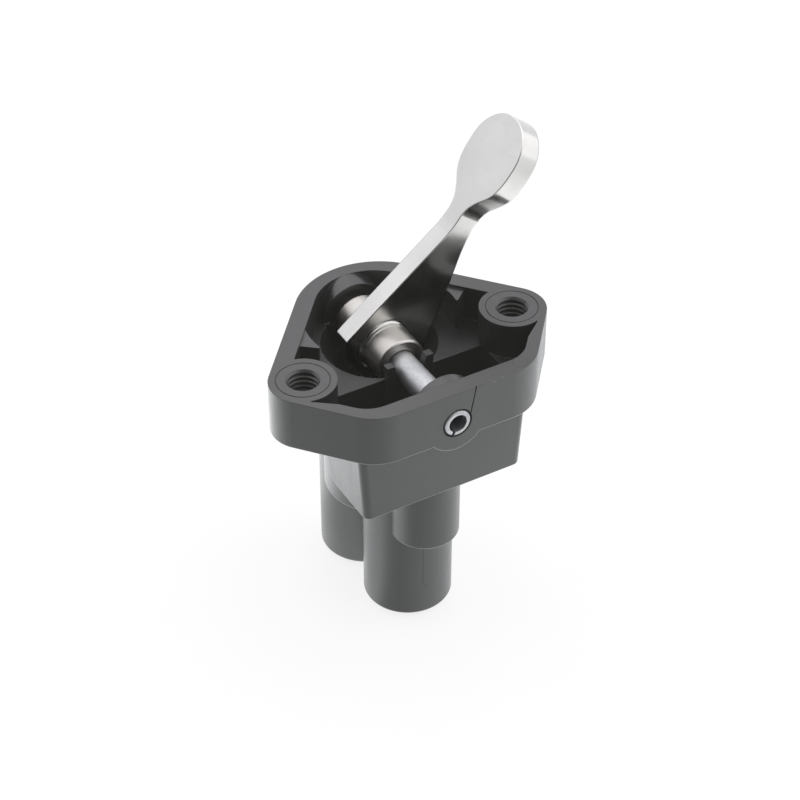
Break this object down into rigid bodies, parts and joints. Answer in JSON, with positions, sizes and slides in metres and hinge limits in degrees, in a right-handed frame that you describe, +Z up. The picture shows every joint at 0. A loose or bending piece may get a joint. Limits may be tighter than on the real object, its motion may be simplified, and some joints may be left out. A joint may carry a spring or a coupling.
{
  "type": "three way valve",
  "caption": "Lever-operated three way pneumatic valve: black moulded panel-mount body with an open well, metal cam lever on a slotted pin, push-in tube sockets and an exhaust stub underneath.",
  "frame": {"origin": "midway between the two mounting holes, in the plane of the rim", "axes": "+X along the line of the two holes towards the side the pressed lever points to, +Y along the pivot pin from the slotted front face to the rear, +Z up out of the rim"},
  "size_m": [0.0468, 0.0343, 0.0732],
  "materials": {
    "body": "satin, moulded glass-filled polyamide",
    "pin": "bright, slotted spring pin",
    "lever": "satin nickel-plated die casting",
    "acetal": "smooth acetal",
    "brass": "turned",
    "seal": "moulded nitrile",
    "spring_steel": "bright spring steel",
    "inner_plastic": "moulded",
    "collet": "moulded acetal release ring"
  },
  "bodies": {
    "housing": {"valve_body": "body", "pivot_pin": "pin", "retaining_ring": "spring_steel", "guide_bush": "inner_plastic", "exhaust_spacer": "inner_plastic", "stem_gland_ring": "brass", "upper_seat": "brass", "seat_cage": "inner_plastic", "lower_seat": "brass", "stem_seal": "seal", "bush_seal": "seal", "lower_seat_seal": "seal", "return_spring": "spring_steel", "front_tube_seal": "seal", "front_support_ring": "inner_plastic", "front_grip_ring": "spring_steel", "front_collet_housing": "inner_plastic", "rear_tube_seal": "seal", "rear_support_ring": "inner_plastic", "rear_grip_ring": "spring_steel", "rear_collet_housing": "inner_plastic"},
    "lever_arm": {"lever": "lever"},
    "stem_group": {"stem": "brass", "cam_follower": "acetal", "poppet": "seal", "poppet_clip": "spring_steel"},
    "front_release": {"front_collet": "collet"},
    "rear_release": {"rear_collet": "collet"}
  },
  "joints": [
    {"name": "lever_pivot", "type": "hinge", "parent": "housing", "child": "lever_arm", "pos_m": [0, 0.00875, -0.00528], "axis": [0, -1, 0], "range_deg": [0, 80]},
    {"name": "stem_slide", "type": "slide", "parent": "housing", "child": "stem_group", "axis": [0, 0, 1], "range_m": [0, 0.002], "deforming": ["return_spring"]},
    {"name": "front_collet_slide", "type": "slide", "parent": "housing", "child": "front_release", "axis": [0, 0, 1], "range_m": [0, 0.0005]},
    {"name": "rear_collet_slide", "type": "slide", "parent": "housing", "child": "rear_release", "axis": [0, 0, 1], "range_m": [0, 0.0005]}
  ],
  "couplings": [
    {"joint": "stem_slide", "follows": "lever_pivot", "m_per_rad": 0.0014324}
  ]
}
